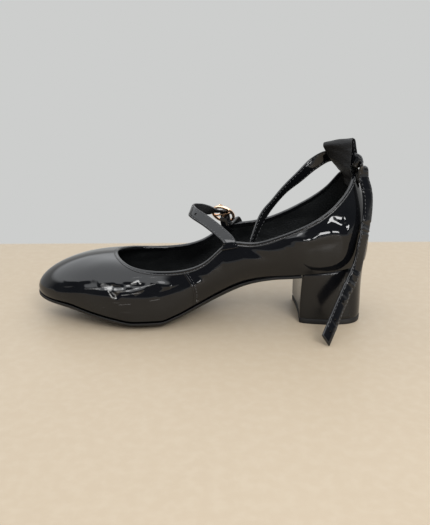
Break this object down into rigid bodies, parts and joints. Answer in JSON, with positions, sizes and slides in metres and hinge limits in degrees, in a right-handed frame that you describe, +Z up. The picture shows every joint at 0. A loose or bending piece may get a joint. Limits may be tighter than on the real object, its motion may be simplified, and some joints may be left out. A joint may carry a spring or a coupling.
{
  "type": "mary jane shoe",
  "caption": "Right patent mary jane on a block heel: hollow upper with round throat, instep strap with ring buckle, heel tab and long ankle strap.",
  "frame": {"origin": "on the floor, in the middle of the heel's resting face", "axes": "+X to the back of the heel, toe towards -X, inner side of the foot at -Y, +Z up"},
  "size_m": [0.237, 0.1025, 0.1277],
  "materials": {
    "patent_upper": "black patent, mirror gloss with soft creases and fine scuffs",
    "patent_heel": "black patent wrapped over a block heel",
    "patent_strap": "black patent, folded and stitched edges",
    "tab_lining": "matte black brushed lining",
    "sock_lining": "matte black lining over a padded sock",
    "outsole": "thin black moulded sole, satin edge",
    "top_piece": "black heel tip, satin",
    "buckle_metal": "polished pale rose gold"
  },
  "bodies": {
    "root": {"upper": "patent_upper", "outsole": "outsole", "insole": "sock_lining", "heel": "patent_heel", "top_piece": "top_piece", "instep_strap": "patent_strap", "ankle_strap": "patent_strap", "heel_tab": "tab_lining", "buckle_ring": "buckle_metal", "buckle_prong": "buckle_metal", "buckle_tab": "patent_strap"}
  },
  "joints": []
}
